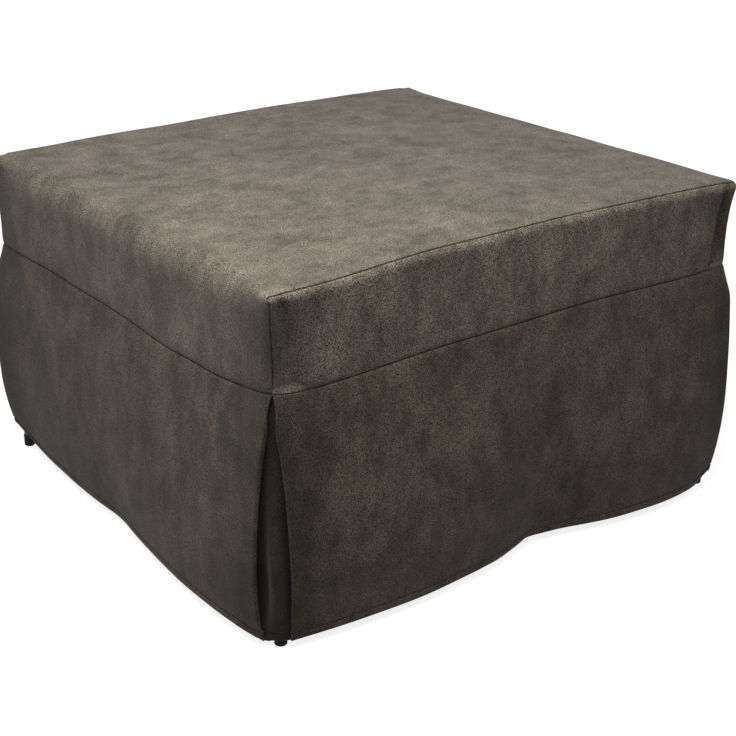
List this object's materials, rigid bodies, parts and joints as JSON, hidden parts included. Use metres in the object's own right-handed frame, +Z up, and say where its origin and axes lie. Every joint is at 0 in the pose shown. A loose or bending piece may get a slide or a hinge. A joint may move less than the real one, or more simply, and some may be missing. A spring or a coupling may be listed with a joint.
{
  "type": "fold-out ottoman guest bed",
  "caption": "Square ottoman with a fitted pleated cloth cover that lifts off a bed folded in a Z, which opens into a low single guest bed on steel legs.",
  "frame": {"origin": "on the floor at the centre of the footprint of the closed ottoman", "axes": "+Z up, +X along the front face from the picture's near corner to its right corner, -Y out of the front face; the bed unfolds towards +Y"},
  "size_m": [0.7894, 0.7594, 0.4572],
  "materials": {
    "cover_cloth": "matte",
    "mattress_ticking": "matte",
    "slat_wood": "satin",
    "black_steel": "satin",
    "zinc_steel": "satin",
    "black_plastic": "matte"
  },
  "bodies": {
    "base": {"base_side_rails": "black_steel", "base_end_rails": "black_steel", "base_rail_caps": "black_plastic", "base_slats": "slat_wood", "base_slat_holders": "black_plastic", "base_mattress": "mattress_ticking", "base_hinge_plates": "black_steel", "front_leg_frame": "black_steel", "rear_leg_frame": "black_steel", "leg_straps": "black_steel", "leg_screws": "zinc_steel", "base_feet": "black_plastic", "fold_a_rivets": "zinc_steel", "fold_a_washers": "zinc_steel"},
    "middle": {"middle_side_rails": "black_steel", "middle_end_rails": "black_steel", "middle_rail_caps": "black_plastic", "middle_slats": "slat_wood", "middle_slat_holders": "black_plastic", "middle_mattress": "mattress_ticking", "middle_hinge_plates_a": "black_steel", "middle_hinge_plates_b": "black_steel"},
    "head": {"head_side_rails": "black_steel", "head_end_rails": "black_steel", "head_rail_caps": "black_plastic", "head_slats": "slat_wood", "head_slat_holders": "black_plastic", "head_mattress": "mattress_ticking", "head_hinge_plates": "black_steel", "fold_b_rivets": "zinc_steel", "fold_b_washers": "zinc_steel", "leg_pivot_pins": "zinc_steel"},
    "inner_leg": {"inner_leg_posts": "black_steel", "inner_leg_bar": "black_steel", "inner_leg_feet": "black_plastic"},
    "outer_leg": {"outer_leg_posts": "black_steel", "outer_leg_bar": "black_steel", "outer_leg_feet": "black_plastic"},
    "cover": {"cover_top": "cover_cloth", "cover_front": "cover_cloth", "cover_back": "cover_cloth", "skirt_front": "cover_cloth", "skirt_right": "cover_cloth", "skirt_back": "cover_cloth", "skirt_left": "cover_cloth", "pleat_front_left": "cover_cloth", "pleat_front_right": "cover_cloth", "pleat_back_left": "cover_cloth", "pleat_back_right": "cover_cloth"}
  },
  "joints": [
    {"name": "unfold", "type": "hinge", "parent": "base", "child": "middle", "pos_m": [0, 0.33, 0.1918], "axis": [-1, 0, 0], "range_deg": [0, 180]},
    {"name": "head_unfold", "type": "hinge", "parent": "middle", "child": "head", "pos_m": [0, -0.33, 0.3231], "axis": [1, 0, 0], "range_deg": [0, 180]},
    {"name": "inner_leg_swing", "type": "hinge", "parent": "head", "child": "inner_leg", "pos_m": [0, -0.27, 0.3321], "axis": [-1, 0, 0], "range_deg": [0, 90]},
    {"name": "outer_leg_swing", "type": "hinge", "parent": "head", "child": "outer_leg", "pos_m": [0, 0.3, 0.3321], "axis": [1, 0, 0], "range_deg": [0, 90]},
    {"name": "cover_lift", "type": "slide", "parent": "head", "child": "cover", "axis": [0, 0, 1], "range_m": [0, 0.63], "deforming": ["skirt_front", "skirt_right", "skirt_back", "skirt_left", "pleat_front_left", "pleat_front_right", "pleat_back_left", "pleat_back_right"]}
  ],
  "couplings": [
    {"joint": "head_unfold", "follows": "unfold", "ratio": 1},
    {"joint": "inner_leg_swing", "follows": "unfold", "ratio": 0.5},
    {"joint": "outer_leg_swing", "follows": "unfold", "ratio": 0.5},
    {"joint": "cover_lift", "follows": "unfold", "m_per_rad": 0.2}
  ]
}
